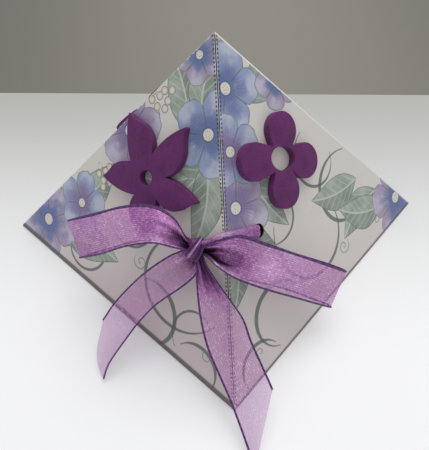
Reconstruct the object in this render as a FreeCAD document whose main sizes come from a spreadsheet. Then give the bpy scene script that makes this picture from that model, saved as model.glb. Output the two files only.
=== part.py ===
import FreeCAD, Part
import math
import os
import Sketcher
from FreeCAD import Placement, Rotation, Vector

# Pyramid gift box: one folded and glued card with a square base, its front edge an open seam that a
# ribbon ties shut, and three die-cut foam flowers stuck on its walls.
# Frame: origin at the middle of the base on the table, +Z up, the tied front edge towards -Y.
# The four base corners lie on the axes: front, right, back and left.

doc = FreeCAD.newDocument("pyramid_box")

# Driving dimensions, in millimetres; lengths on a wall run along its base fold (across, from the
# fold's middle) and up its slope (up, from the fold).
DIMENSIONS = [
    ("base_side", "105", "length of each base fold"),
    ("apex_rise", "74.25", "height of the point above the base folds"),
    ("card_thick", "0.4", "thickness of the card"),
    ("seam_gap", "0.3", "gap between the two front flanges"),
    ("flange_width", "5", "width of each flange folded in at the front seam"),
    ("flange_setback", "8", "distance from a flange's end to the corner or the point"),
    ("hem_width", "10", "width of each hem glued on the base panel"),
    ("hem_setback", "1.5", "distance from a hem's end to the corner"),
    ("base_inset", "1", "how far the base panel's cut edges stand inside the folds"),
    ("hole_radius", "2.2", "radius of each ribbon hole"),
    ("right_hole_up", "50.5", "place of the right wall's hole along the front edge"),
    ("right_hole_in", "12.4", "distance from the front edge to the right wall's hole"),
    ("left_hole_up", "47.8", "place of the left wall's hole along the front edge"),
    ("left_hole_in", "13.8", "distance from the front edge to the left wall's hole"),
    ("glue_film", "0.1", "thickness of the glue under a foam flower"),
    ("foam_thick", "2.4", "thickness of the foam"),
    ("star_reach", "20", "distance from the star flower's hole to a petal's tip"),
    ("star_notch", "7.2", "distance from the star flower's hole to a notch"),
    ("star_full_bulge", "2.9", "how far the fuller side of a pointed petal curves out"),
    ("star_tip_hollow", "0.3", "how far the fuller side curves in again beside the tip"),
    ("star_flat_bulge", "1.1", "how far the flatter side of a pointed petal curves out"),
    ("star_hole", "2.3", "radius of the star flower's hole"),
    ("star_across", "-3.3", "place of the star flower on the front left wall"),
    ("star_up", "45.9", "place of the star flower up the front left wall"),
    ("bloom_out", "10.4", "distance from a round flower's middle to a lobe's centre"),
    ("bloom_lobe", "5.5", "radius of a round flower's lobe"),
    ("bloom_notch", "5.1", "distance from a round flower's middle to a notch"),
    ("bloom_hole_long", "4.85", "half length of a round flower's oval hole"),
    ("bloom_hole_short", "3.65", "half width of a round flower's oval hole"),
    ("right_bloom_across", "1.4", "place of the round flower on the front right wall"),
    ("right_bloom_up", "51", "place of the round flower up the front right wall"),
    ("back_bloom_across", "2.1", "place of the round flower on the back left wall"),
    ("back_bloom_up", "45.6", "place of the round flower up the back left wall"),
    ("ribbon_width", "12", "width of the flat ribbon"),
    ("ribbon_thick", "0.35", "thickness of the ribbon's band"),
    ("strand_width", "3.4", "width of the ribbon rolled up to pass a hole"),
    ("strand_thick", "1.1", "thickness of the rolled ribbon"),
    ("strand_clear", "0.3", "gap between the rolled ribbon and the card"),
    ("knot_in", "7.8", "distance of the knot from the front edge, over the left wall"),
    ("knot_down", "3", "how far the knot sits below the holes, along the front edge"),
    ("knot_length", "7.6", "length of the knot, along the front edge"),
    ("knot_radius", "3.2", "radius of the knot"),
    ("knot_round", "2.6", "radius of the knot's rounded ends"),
    ("knot_clear", "0.6", "gap between the knot and the card"),
    ("table_clear", "0.5", "gap between a tail's tip and the table"),
]

sheet = doc.addObject("Spreadsheet::Sheet", "Sizes")
for row, (alias, value, note) in enumerate(DIMENSIONS, start=1):
    sheet.set(f"A{row}", note)
    sheet.set(f"B{row}", value)
    sheet.setAlias(f"B{row}", alias)
doc.recompute()


def size(alias):
    return float(sheet.get(alias))


def add(kind, name, **bound):
    """New object with the given properties bound to expressions."""
    made = doc.addObject(kind, name)
    for prop, expression in bound.items():
        made.setExpression(prop, expression)
    return made


def boolean(kind, name, parts):
    made = doc.addObject(kind, name)
    if kind == "Part::Cut":
        made.Base, made.Tool = parts
    else:
        made.Shapes = parts
    return made


# Directions that follow from the driving dimensions
foot = size("card_thick")  # the base folds lie on the base panel
half = size("base_side") / 2
corner = half * math.sqrt(2)
rise = size("apex_rise")
slope = math.degrees(math.atan2(rise, half))
ridge = math.degrees(math.atan2(rise, corner))
ridge_length = math.hypot(rise, corner)
front_corner = Vector(0, -corner, foot)
WALLS = {"front_left": -135, "front_right": -45, "back_right": 45, "back_left": 135}


def wall_place(wall, across=0, up=0, off=0):
    """Frame on a wall: X along its base fold, Y up the slope, Z out of the wall."""
    heading = WALLS[wall]
    fold = Rotation(Vector(0, 0, 1), heading + 90)
    turn = fold * Rotation(Vector(1, 0, 0), slope)
    middle = fold.multVec(Vector(0, -half, foot))
    return Placement(middle + turn.multVec(Vector(across, up, off)), turn)


def fold_place(wall):
    """Frame at the middle of a base fold: X along the fold, Y inwards, Z up."""
    turn = Rotation(Vector(0, 0, 1), WALLS[wall] + 90)
    return Placement(turn.multVec(Vector(0, -half, foot)), turn)


def ridge_place(along=0, out=0, side=0):
    """Frame on the front edge: X up the edge, Y into the box, Z to the left."""
    up = Vector(0, math.cos(math.radians(ridge)), math.sin(math.radians(ridge)))
    into = Vector(0, up.z, -up.y)
    turn = Rotation(up, into, up.cross(into), "XYZ")
    return Placement(front_corner + up * along - into * out + Vector(side, 0, 0), turn)


# ---------------------------------------------------------------- card box
SLOPE = "atan(2 * Sizes.apex_rise / Sizes.base_side)"


def pyramid(name, half_side, height):
    """Square pyramid that stands on the plane of the base folds."""
    made = add("Part::Wedge", name, Xmin=f"-({half_side})", Xmax=half_side, Zmin=f"-({half_side})",
               Zmax=half_side, Ymax=height)
    made.Ymin = made.X2min = made.X2max = made.Z2min = made.Z2max = 0
    made.Placement = Placement(
        Vector(0, 0, 0), Rotation(Vector(0, 0, 1), 45) * Rotation(Vector(1, 0, 0), 90))
    made.setExpression("Placement.Base.z", "Sizes.card_thick")
    return made


def tab(name, length, width, taper, place):
    """Flat tab with sloping ends: X along the fold, Y from the fold to the free edge."""
    made = add("Part::Wedge", name, Xmin=f"-({length}) / 2", Xmax=f"({length}) / 2",
               X2min=f"{taper} - ({length}) / 2", X2max=f"({length}) / 2 - {taper}",
               Ymax=width, Zmax="Sizes.card_thick", Z2max="Sizes.card_thick")
    made.Ymin = made.Zmin = made.Z2min = 0
    made.Placement = place
    return made


outside = pyramid("outside", "Sizes.base_side / 2", "Sizes.apex_rise")
inside = pyramid("inside", f"Sizes.base_side / 2 - Sizes.card_thick / sin({SLOPE})",
                 f"Sizes.apex_rise - Sizes.card_thick / cos({SLOPE})")
walls = boolean("Part::Cut", "walls", [outside, inside])

# hems of three walls, and the two flanges of the front seam
hems = [
    tab(f"hem_{wall}", "Sizes.base_side - 2 * Sizes.hem_setback", "Sizes.hem_width",
        "Sizes.hem_width", fold_place(wall))
    for wall in ("front_left", "front_right", "back_right")
]
flanges = [
    tab(f"flange_{side}", f"{ridge_length} - 2 * Sizes.flange_setback", "Sizes.flange_width",
        "Sizes.flange_width", ridge_place(along=ridge_length / 2))
    for side in ("left", "right")
]
flanges[0].Placement = ridge_place(along=ridge_length / 2, side=-size("seam_gap") / 2)
flanges[1].Placement = ridge_place(
    along=ridge_length / 2, side=size("seam_gap") / 2 + size("card_thick"))
tabs = boolean("Part::MultiFuse", "tabs", hems + flanges)
tabs_inside = boolean("Part::MultiCommon", "tabs_inside", [tabs, outside])

# base panel, hinged on the back left wall and glued under the hems
base_panel = add("Part::Box", "base_panel", Length="Sizes.base_side - 2 * Sizes.base_inset",
                 Width="Sizes.base_side - Sizes.base_inset", Height="Sizes.card_thick")
base_panel.Placement = Placement(Vector(0, 0, 0), Rotation(Vector(0, 0, 1), 45))
base_panel.setExpression(
    "Placement.Base.y", "-(Sizes.base_side / 2 - Sizes.base_inset) * sqrt(2)")
folded = boolean("Part::MultiFuse", "folded", [walls, tabs_inside, base_panel])

# the front seam runs the whole front edge, through the fold only
SEAM_OVERRUN = 2
seam = add("Part::Box", "seam", Length=f"{ridge_length + 2 * SEAM_OVERRUN}",
           Width=f"{SEAM_OVERRUN} + 2.5 * Sizes.card_thick", Height="Sizes.seam_gap")
seam.Placement = ridge_place(along=-SEAM_OVERRUN, out=SEAM_OVERRUN, side=size("seam_gap") / 2)

# ribbon holes, square through the two front walls
HOLE_RUN = 4  # cutter length in card thicknesses


def hole_place(wall):
    """Frame at a ribbon hole's centre: Z out of the wall."""
    place = wall_place(wall)
    up = ridge_place().Rotation.multVec(Vector(1, 0, 0))
    out = place.Rotation.multVec(Vector(0, 0, 1))
    away = up.cross(out) if wall == "front_right" else out.cross(up)
    side = wall.removeprefix("front_")
    return Placement(front_corner + up * size(f"{side}_hole_up") + away * size(f"{side}_hole_in"),
                     place.Rotation)


holes = []
for wall in ("front_left", "front_right"):
    hole = add("Part::Cylinder", f"hole_{wall}", Radius="Sizes.hole_radius",
               Height=f"{HOLE_RUN} * Sizes.card_thick")
    place = hole_place(wall)
    hole.Placement = Placement(
        place.multVec(Vector(0, 0, -HOLE_RUN / 2 * size("card_thick"))), place.Rotation)
    holes.append(hole)

card_cuts = boolean("Part::MultiFuse", "card_cuts", [seam] + holes)
card_box = boolean("Part::Cut", "card_box", [folded, card_cuts])
card_box.Label = "card_box"

# ------------------------------------------------------------ foam flowers
# Each petal is (direction in degrees, share of the flower's reach), and a pointed petal also has
# the direction of the notch before it and how full its fuller side is.
STAR_PETALS = [(6, 0.97, 328, 1), (70, 1.03, 28, 1), (134, 1.01, 97, 1), (205, 0.9, 170, 0.65),
               (288, 0.93, 253, 1)]
FRONT_BLOOM_PETALS = [(58, 0.79), (154, 1.03), (245, 0.91), (325, 0.91)]
BACK_BLOOM_PETALS = [(0, 0.96), (90, 0.96), (180, 0.92), (270, 0.92)]
SHOULDER = 0.62  # place of a pointed petal's shoulder along its fuller side
OVAL_TURN = -33  # direction of the oval hole's length


def polar(direction, distance):
    angle = math.radians(direction)
    return Vector(distance * math.cos(angle), distance * math.sin(angle), 0)


def notches(petals, distance):
    """Points midway between neighbouring petals; each comes just before its petal."""
    before = [petals[-1][0] - 360] + [direction for direction, _ in petals[:-1]]
    return [polar((a + b) / 2, distance) for a, (b, _) in zip(before, petals)]


def bulged(start, end, bulge):
    """Arc from start to end that bows to the right of the way by bulge."""
    way = end - start
    right = Vector(way.y, -way.x, 0).normalize()
    return Part.Arc(start, (start + end) / 2 + right * bulge, end)


def star_outline():
    dips = [polar(notch, size("star_notch")) for _, _, notch, _ in STAR_PETALS]
    outline = []
    for (direction, share, _, fullness), dip, dip_after in zip(
            STAR_PETALS, dips, dips[1:] + dips[:1]):
        tip = polar(direction, share * size("star_reach"))
        way = tip - dip
        right = Vector(way.y, -way.x, 0).normalize()
        full = fullness * size("star_full_bulge")
        shoulder = dip + way * SHOULDER + right * full * 0.88
        outline.append(Part.Arc(dip, dip + way * 0.3 + right * full, shoulder))
        outline.append(bulged(shoulder, tip, -size("star_tip_hollow")))
        outline.append(bulged(tip, dip_after, size("star_flat_bulge")))
    return outline


def touch_point(start, centre, radius, side):
    """Where the straight line from start touches the circle, on its right (-1) or left (1)."""
    way = centre - start
    length = math.sqrt(way.Length ** 2 - radius ** 2)
    turn = Rotation(Vector(0, 0, 1), side * math.degrees(math.asin(radius / way.Length)))
    return start + turn.multVec(way).normalize() * length


def bloom_outline(petals):
    radius = size("bloom_lobe")
    dips = notches(petals, size("bloom_notch"))
    outline = []
    for (direction, share), dip, dip_after in zip(petals, dips, dips[1:] + dips[:1]):
        centre = polar(direction, share * size("bloom_out"))
        first = touch_point(dip, centre, radius, -1)
        last = touch_point(dip_after, centre, radius, 1)
        outline.append(Part.LineSegment(dip, first))
        outline.append(Part.Arc(first, centre + polar(direction, radius), last))
        outline.append(Part.LineSegment(last, dip_after))
    return outline


def round_hole(sketch):
    ring = sketch.addGeometry(Part.Circle(Vector(0, 0, 0), Vector(0, 0, 1), size("star_hole")))
    radius = sketch.addConstraint(Sketcher.Constraint("Radius", ring, size("star_hole")))
    sketch.renameConstraint(radius, "hole_radius")
    sketch.setExpression("Constraints.hole_radius", "Sizes.star_hole")
    return ring


def oval_hole(sketch):
    """Oval hole, its two lengths bound to the sheet."""
    long_end, short_end = polar(OVAL_TURN, 1), polar(OVAL_TURN + 90, 1)
    ring = sketch.addGeometry(Part.Ellipse(
        long_end * size("bloom_hole_long"), short_end * size("bloom_hole_short"), Vector(0, 0, 0)))
    sketch.exposeInternalGeometry(ring)
    for line, half in ((ring + 1, "bloom_hole_long"), (ring + 2, "bloom_hole_short")):
        length = sketch.addConstraint(Sketcher.Constraint("Distance", line, 2 * size(half)))
        sketch.renameConstraint(length, half)
        sketch.setExpression(f"Constraints.{half}", f"2 * Sizes.{half}")
    sketch.addConstraint(Sketcher.Constraint("Angle", ring + 1, math.radians(OVAL_TURN)))
    return ring


def foam_flower(name, outline, hole, place):
    """Flower punched from foam sheet, lying on the plane of its own X and Y."""
    body = doc.addObject("PartDesign::Body", name)
    sketch = body.newObject("Sketcher::SketchObject", f"{name}_outline")
    plane = next(f for f in body.Origin.OriginFeatures if f.Role == "XY_Plane")
    sketch.AttachmentSupport = [(plane, "")]
    sketch.MapMode = "FlatFace"
    sketch.addGeometry(outline)
    sketch.addConstraint(Sketcher.Constraint("Coincident", hole(sketch), 3, -1, 1))
    pad = body.newObject("PartDesign::Pad", f"{name}_foam")
    pad.Profile = sketch
    pad.setExpression("Length", "Sizes.foam_thick")
    body.Placement = place
    body.Label = name
    return body


def on_wall(wall, across, up):
    return wall_place(wall, size(across), size(up), size("glue_film"))


star = foam_flower("star_flower", star_outline(), round_hole,
                   on_wall("front_left", "star_across", "star_up"))
right_bloom = foam_flower("right_round_flower", bloom_outline(FRONT_BLOOM_PETALS), oval_hole,
                          on_wall("front_right", "right_bloom_across", "right_bloom_up"))
back_bloom = foam_flower("back_round_flower", bloom_outline(BACK_BLOOM_PETALS), oval_hole,
                         on_wall("back_left", "back_bloom_across", "back_bloom_up"))

# ------------------------------------------------------------------ ribbon
# The bow's own frame, at the knot: X to the right, Y up the front edge, Z off the edge.
ridge_frame = ridge_place().Rotation
edge_up = ridge_frame.multVec(Vector(1, 0, 0))
edge_out = ridge_frame.multVec(Vector(0, -1, 0))
bow_turn = Rotation(Vector(1, 0, 0), edge_up, edge_out, "XYZ")
tie_point = front_corner + edge_up * size("right_hole_up")  # on the front edge


def beside_edge(wall, away, out, up=0):
    """Point over a front wall: away from the front edge, out from the wall, up the edge."""
    place = wall_place(wall)
    normal = place.Rotation.multVec(Vector(0, 0, 1))
    across = edge_up.cross(normal) if wall == "front_right" else normal.cross(edge_up)
    return tie_point + across * away + normal * out + edge_up * up


knot = beside_edge("front_left", size("knot_in"), size("knot_clear") + size("knot_radius"),
                   -size("knot_down"))


def from_knot(right, up, out):
    return knot + bow_turn.multVec(Vector(right, up, out))


def across_way(turn, lean):
    """Direction across a band: turned from up the edge towards the left, then leaned outwards."""
    a, b = math.radians(turn), math.radians(lean)
    return bow_turn.multVec(
        Vector(-math.sin(a) * math.cos(b), math.cos(a) * math.cos(b), math.sin(b)))


def eased(values, at):
    """Point of a smooth curve through four values, at a share of the way between the middle two."""
    first, start, end, last = values
    slope_in, slope_out = (end - first) * 0.5, (last - start) * 0.5
    return (start * (2 * at**3 - 3 * at**2 + 1) + slope_in * (at**3 - 2 * at**2 + at)
            + end * (3 * at**2 - 2 * at**3) + slope_out * (at**3 - at**2))


def softened(stations):
    """The stations with one more between each two, on a smooth curve through them."""
    padded = stations[:1] + stations + stations[-1:]
    route = []
    for at, station in enumerate(stations[:-1]):
        near = padded[at:at + 4]
        route += [station, tuple(eased([other[part] for other in near], 0.5) for part in range(3))]
    return route + stations[-1:]


def flat_face(*corners):
    return Part.Face(Part.makePolygon([*corners, corners[0]]))


def band(name, stations, thickness):
    """Solid band through stations of (point, direction across, width), its sides cut into flat
    triangles because the band twists."""
    rings = []
    points = [point for point, _, _ in stations]
    for before, (point, across, width), after in zip(
            points[:1] + points[:-1], stations, points[1:] + points[-1:]):
        side = Vector(across).normalize() * (width / 2)
        thick = (after - before).cross(across).normalize() * (thickness / 2)
        rings.append([point + side + thick, point - side + thick,
                      point - side - thick, point + side - thick])
    faces = [flat_face(*rings[0]), flat_face(*rings[-1])]
    for near, far in zip(rings, rings[1:]):
        for one, two in ((0, 1), (3, 2), (1, 2), (3, 0)):
            faces.append(flat_face(near[one], near[two], far[two]))
            faces.append(flat_face(near[one], far[two], far[one]))
    made = doc.addObject("Part::Feature", name)
    made.Shape = Part.makeSolid(Part.makeShell(faces))
    return made


# Stations of each loop, out to its fold and back: right, up and out from the knot, then the
# direction across the band (turn, lean) and its width as a share of the ribbon's.
LEFT_LOOP = [
    (-1.6, 0.8, 0.8, 15, 0, 0.35), (-5.4, 4.8, 3.2, -8, -25, 0.72), (-11.2, 7.6, 3.6, 3, -30, 0.9),
    (-19.4, 7.2, 0.8, 8, -30, 1), (-27.7, 5, -4, 12, -22, 1), (-34.6, 3.8, -8.4, 17, -16, 1),
    (-36, 3.4, -10.2, 17, -16, 1), (-34.2, 3.9, -11.4, 17, -16, 1), (-27, 5.3, -9.6, 12, -22, 1),
    (-19, 7.2, -6, 8, -30, 1), (-11.4, 7.5, -2.6, 3, -30, 0.9), (-6, 4.8, -0.8, -8, -20, 0.7),
    (-1.6, 0.8, -0.8, 15, 0, 0.35),
]
RIGHT_LOOP = [
    (1.8, -0.6, 0.9, 8, 0, 0.35), (6, -0.6, 4.6, -14, -24, 0.72), (11.4, -2.5, 4.8, -12, -20, 0.97),
    (19.4, -6.2, 2.4, -15, -15, 1), (29.2, -10.6, -2.2, -21, -12, 1), (41.2, -16.2, -8.8, -28, -9, 1),
    (42.8, -16.8, -10.6, -28, -9, 1), (40.8, -15.8, -11.8, -28, -9, 1),
    (28.8, -10.2, -7.6, -20, -30, 1),
    (19.2, -5.9, -2.7, -14, -24, 1), (11.6, -2.4, 3, -12, -14, 0.95), (6.2, -0.3, 3.5, -14, -8, 0.7),
    (1.8, 0, -0.4, 8, 0, 0.35),
]


def loop(name, stations):
    """A loop as its front layer, out to the fold, and its back layer."""
    route = [(from_knot(right, up, out), across_way(turn, lean), share * size("ribbon_width"))
             for right, up, out, turn, lean, share in stations]
    fold = max(range(len(stations)), key=lambda at: abs(stations[at][0]))
    return [band(f"{name}_front", softened(route[:fold + 1]), size("ribbon_thick")),
            band(f"{name}_back", softened(route[fold:]), size("ribbon_thick"))]


# A tail runs from the knot to its tip on the table. Each station is a share of that way, how far
# the band bows aside (right) and out from it, its turn and lean, and its share of the width.
LEFT_TAIL = [
    (0.03, 0, 0, 23, 0, 0.33), (0.155, -0.9, -0.3, 38, -19, 0.77), (0.335, -4.4, -3, 44, -26, 0.95),
    (0.51, -6.4, -4.6, 50, -34, 1), (0.64, -7.2, -4.9, 52, -36, 1),
]
RIGHT_TAIL = [
    (0.03, 0.4, 0.2, 84, 0, 0.33), (0.18, 1.6, 0.9, 80, 0, 0.6), (0.33, 2.4, 0.2, 87, 0, 0.9),
    (0.46, 2.6, -0.4, 98, 0, 1), (0.58, 3.6, -0.9, 102, 0, 1), (0.68, 4.6, -1, 102, 0, 1),
]
LEFT_TIP = (-38.3, 11.6)  # right of the front corner, and back from it
RIGHT_TIP = (3.6, -15)
POINT_SHARE = 0.08  # the cut end runs out to this share of the width


def tail(name, stations, tip_from_corner):
    """Band that ends in a slanting cut, its point just above the table."""
    right, back = tip_from_corner
    tip = Vector(right, back - corner, size("table_clear"))
    way = tip - knot
    route = []
    for share, aside, out, turn, lean, width_share in stations:
        point = knot + way * share + bow_turn.multVec(Vector(aside, 0, out))
        route.append((point, across_way(turn, lean), width_share * size("ribbon_width")))
    point_end = (tip, route[-1][1], POINT_SHARE * size("ribbon_width"))
    return band(name, softened(route) + [point_end], size("ribbon_thick"))


def through_hole(wall, angles):
    """Points of the rolled ribbon's turn round the card's edge in a hole."""
    lift = size("strand_clear") + size("strand_thick") / 2
    reach = lift + size("card_thick") / 2
    turns = [math.radians(angle) for angle in angles]
    side = wall.removeprefix("front_")
    return [beside_edge(wall, size(f"{side}_hole_in") - reach + reach * math.cos(turn),
                        reach * math.sin(turn) - size("card_thick") / 2,
                        size(f"{side}_hole_up") - size("right_hole_up")) for turn in turns]


# The gathered strand's bends: away from the front edge, out from the wall and up the edge.
TIE_LEFT_BEND = (3.4, 2.6, -1.6)
TIE_RIGHT_BEND = (3, 0, -0.5)
TIE_EDGE_BEND = (0, 0, -0.9)
TIE_BACK_BEND = (-1.6, 2.2, -2.8)  # away from the left hole
TIE_START = 0.8  # how far the strand's end lies behind the knot's middle


def tie():
    """The rolled ribbon: from the knot over the front edge, in at the right hole, across the
    inside, out at the left hole and back to the knot."""
    lift = size("strand_clear") + size("strand_thick") / 2
    over = [
        knot + (tie_point - knot) * 0.2,
        beside_edge("front_left", *TIE_LEFT_BEND),
        tie_point + edge_out * 1.6 * lift + edge_up * TIE_EDGE_BEND[2],
        beside_edge("front_right", TIE_RIGHT_BEND[0], lift + TIE_RIGHT_BEND[1], TIE_RIGHT_BEND[2]),
    ]
    over += through_hole("front_right", (90, 45, 0, -45, -90))
    over += through_hole("front_left", (-90, -45, 0))
    back_away, back_out, back_up = TIE_BACK_BEND
    back = through_hole("front_left", (0, 40)) + [
        beside_edge("front_left", size("left_hole_in") + back_away, back_out, back_up),
        knot + (tie_point - knot) * 0.1 - edge_out * TIE_START,
    ]
    return [band(name, [(point, edge_up, size("strand_width")) for point in points],
                 size("strand_thick"))
            for name, points in (("tie_over", over), ("tie_back", back))]


knot_core = add("Part::Cylinder", "knot_core", Radius="Sizes.knot_radius", Height="Sizes.knot_length")
knot_core.Placement = Placement(
    knot - edge_up * (size("knot_length") / 2), Rotation(Vector(0, 0, 1), edge_up))
knot_body = doc.addObject("Part::Fillet", "knot_body")
knot_body.Base = knot_core
knot_body.Edges = [(end, size("knot_round"), size("knot_round")) for end in (1, 3)]
pieces = [knot_body] + loop("left_loop", LEFT_LOOP) + loop("right_loop", RIGHT_LOOP) + tie()
pieces += [tail("left_tail", LEFT_TAIL, LEFT_TIP), tail("right_tail", RIGHT_TAIL, RIGHT_TIP)]
ribbon = boolean("Part::MultiFuse", "ribbon", pieces)

# ----------------------------------------------------- checks and STEP files
nodes = [card_box, star, right_bloom, back_bloom, ribbon]
doc.recompute()
for made in doc.Objects:
    if "Invalid" in made.State or "Error" in made.State:
        raise RuntimeError(f"{made.Label} failed: {made.State}")
for node in nodes:
    shape = node.Shape
    if shape.isNull() or not shape.isValid() or len(shape.Solids) != 1:
        raise RuntimeError(f"{node.Label} is not one valid solid")
os.makedirs("parts", exist_ok=True)
for node in nodes:
    node.Shape.exportStep(f"parts/{node.Label}.step")
    box = node.Shape.BoundBox
    print(f"{node.Label}: {node.Shape.Volume:.1f} mm3, x {box.XMin:.1f} to {box.XMax:.1f}, "
          f"y {box.YMin:.1f} to {box.YMax:.1f}, z {box.ZMin:.2f} to {box.ZMax:.2f}")
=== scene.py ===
import math

import bmesh
import bpy
from mathutils import Matrix, Vector


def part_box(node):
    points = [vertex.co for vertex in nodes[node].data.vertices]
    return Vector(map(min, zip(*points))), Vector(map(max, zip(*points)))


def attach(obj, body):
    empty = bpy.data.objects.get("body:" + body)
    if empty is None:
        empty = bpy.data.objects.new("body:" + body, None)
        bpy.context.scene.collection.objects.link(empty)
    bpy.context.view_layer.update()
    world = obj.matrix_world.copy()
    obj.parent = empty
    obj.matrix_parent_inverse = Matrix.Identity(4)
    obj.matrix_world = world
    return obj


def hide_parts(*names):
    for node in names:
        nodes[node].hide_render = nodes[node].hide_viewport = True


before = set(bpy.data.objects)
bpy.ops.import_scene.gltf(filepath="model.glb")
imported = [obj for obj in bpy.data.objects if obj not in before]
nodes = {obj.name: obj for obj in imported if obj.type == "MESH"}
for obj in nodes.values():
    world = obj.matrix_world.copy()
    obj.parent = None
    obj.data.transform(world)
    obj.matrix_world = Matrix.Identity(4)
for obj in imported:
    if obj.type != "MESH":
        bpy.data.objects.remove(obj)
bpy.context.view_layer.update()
mm = 0.001
toMm = (1000, 1000, 1000)

# the box's own lines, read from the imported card
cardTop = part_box("card_box")[1]
cardThick = 0.4
cardFoot = cardThick * mm
cornerOut = cardTop.x
apex = Vector((0, 0, cardTop.z))
frontCorner = Vector((0, -cornerOut, cardFoot))
baseSide = cornerOut * math.sqrt(2)
slopeLength = math.hypot(baseSide / 2, apex.z - cardFoot)
edgeUp = (apex - frontCorner).normalized()
edgeOut = Vector((0, -edgeUp.z, edgeUp.y))
toRight = Vector((1, 0, 0))


# small helpers
def srgb(*tone):
    # a screen tone, 0 to 255, as the linear colour that a socket takes
    return tuple(((part / 255 + 0.055) / 1.055) ** 2.4 if part > 10 else part / 3295 for part in tone) + (1,)


def finishMesh(name, bm, smooth=True):
    mesh = bpy.data.meshes.new(name)
    bm.to_mesh(mesh)
    bm.free()
    for face in mesh.polygons:
        face.use_smooth = smooth
    piece = bpy.data.objects.new(name, mesh)
    bpy.context.scene.collection.objects.link(piece)
    return piece


def curveThrough(stations, steps):
    # a smooth curve through stations given as equal tuples of numbers
    padded = [stations[0]] + list(stations) + [stations[-1]]
    route = []
    for at in range(len(stations) - 1):
        a, b, c, d = padded[at:at + 4]
        for step in range(steps):
            t = step / steps
            route.append(tuple(
                0.5 * (2 * q + (r - p) * t + (2 * p - 5 * q + 4 * r - s) * t * t + (3 * q - p - 3 * r + s) * t ** 3)
                for p, q, r, s in zip(a, b, c, d)))
    route.append(tuple(stations[-1]))
    return route


# camera
view = {"place": (-6.3, -119.3, 140.7), "right": (0.998, -0.0615, -0.0162),
        "up": (0.0579, 0.7742, 0.6303), "back": (-0.0262, -0.63, 0.7762),
        "lens": 38.4, "sensor": 36, "nearest": 0.005}
cameraData = bpy.data.cameras.new("camera")
cameraData.sensor_fit = "VERTICAL"
cameraData.sensor_height = view["sensor"]
cameraData.lens = view["lens"]
cameraData.clip_start = view["nearest"]
camera = bpy.data.objects.new("camera", cameraData)
bpy.context.scene.collection.objects.link(camera)
turned = Matrix((view["right"], view["up"], view["back"])).transposed().to_4x4()
camera.matrix_world = Matrix.Translation(Vector(view["place"]) * mm) @ turned
bpy.context.scene.camera = camera
bpy.context.scene.view_settings.view_transform = "Standard"


# materials: wiring helpers
class Wiring:
    # adds nodes to one tree; each call gives back the output that the next node reads
    def __init__(self, tree):
        self.tree = tree

    def node(self, kind, **settings):
        made = self.tree.nodes.new(kind)
        for name, value in settings.items():
            setattr(made, name, value)
        return made

    def put(self, socket, value):
        if isinstance(value, bpy.types.NodeSocket):
            self.tree.links.new(value, socket)
        else:
            socket.default_value = value

    def math(self, operation, *values, clamp=False):
        made = self.node("ShaderNodeMath", operation=operation, use_clamp=clamp)
        for socket, value in zip(made.inputs, values):
            self.put(socket, value)
        return made.outputs[0]

    def times(self, value, by):
        return self.math("MULTIPLY", value, by)

    def timesPlus(self, value, by, plus, clamp=False):
        return self.math("MULTIPLY_ADD", value, by, plus, clamp=clamp)

    def minus(self, value, less):
        return self.math("SUBTRACT", value, less)

    def absolute(self, value):
        return self.math("ABSOLUTE", value)

    def vector(self, operation, *values):
        made = self.node("ShaderNodeVectorMath", operation=operation)
        for socket, value in zip(made.inputs, values):
            self.put(socket, value)
        return made.outputs["Value" if operation in ("LENGTH", "DOT_PRODUCT") else "Vector"]

    def join(self, x=0.0, y=0.0, z=0.0):
        made = self.node("ShaderNodeCombineXYZ")
        for socket, value in zip(made.inputs, (x, y, z)):
            self.put(socket, value)
        return made.outputs[0]

    def part(self, value, axis):
        # one part of a vector: x, y or z
        return self.vector("DOT_PRODUCT", value, {"x": (1, 0, 0), "y": (0, 1, 0), "z": (0, 0, 1)}[axis])

    def fade(self, value, low, high, start=0.0, end=1.0):
        # a soft step from start to end while the value goes from low to high
        made = self.node("ShaderNodeMapRange", interpolation_type="SMOOTHSTEP")
        given = {"Value": value, "From Min": low, "From Max": high, "To Min": start, "To Max": end}
        for name, number in given.items():
            self.put(made.inputs[name], number)
        return made.outputs["Result"]

    def blend(self, share, under, over):
        made = self.node("ShaderNodeMix", data_type="RGBA")
        for at, given in ((0, share), (6, under), (7, over)):
            self.put(made.inputs[at], given)
        return made.outputs[2]

    def noise(self, place, scale, detail=2.0, roughness=0.5):
        made = self.node("ShaderNodeTexNoise")
        for name, given in (("Vector", place), ("Scale", scale), ("Detail", detail), ("Roughness", roughness)):
            self.put(made.inputs[name], given)
        return made.outputs["Fac"]

    def bump(self, height, strength, distance):
        made = self.node("ShaderNodeBump")
        made.inputs["Strength"].default_value = strength
        made.inputs["Distance"].default_value = distance
        self.put(made.inputs["Height"], height)
        return made.outputs["Normal"]

    def use(self, group, **values):
        made = self.node("ShaderNodeGroup", node_tree=group)
        for name, value in values.items():
            self.put(made.inputs[name], value)
        return made.outputs


def newGroup(name, takes, gives):
    # an empty shader node group with named sockets: "Color", "Vector" or a number for its default
    group = bpy.data.node_groups.new(name, "ShaderNodeTree")
    for way, sockets in (("INPUT", takes), ("OUTPUT", gives)):
        for label, kind in sockets.items():
            socketType = {"Color": "NodeSocketColor", "Vector": "NodeSocketVector"}.get(kind, "NodeSocketFloat")
            made = group.interface.new_socket(name=label, in_out=way, socket_type=socketType)
            if socketType == "NodeSocketFloat" and way == "INPUT":
                made.default_value = kind
    wires = Wiring(group)
    return group, wires, wires.node("NodeGroupInput").outputs, wires.node("NodeGroupOutput").inputs


def newMaterial(name, **values):
    material = bpy.data.materials.new(name)
    material.use_nodes = True
    shader = next(n for n in material.node_tree.nodes if n.type == "BSDF_PRINCIPLED")
    for label, value in values.items():
        shader.inputs[label.replace("_", " ")].default_value = value
    return material, Wiring(material.node_tree), shader.inputs


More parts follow.
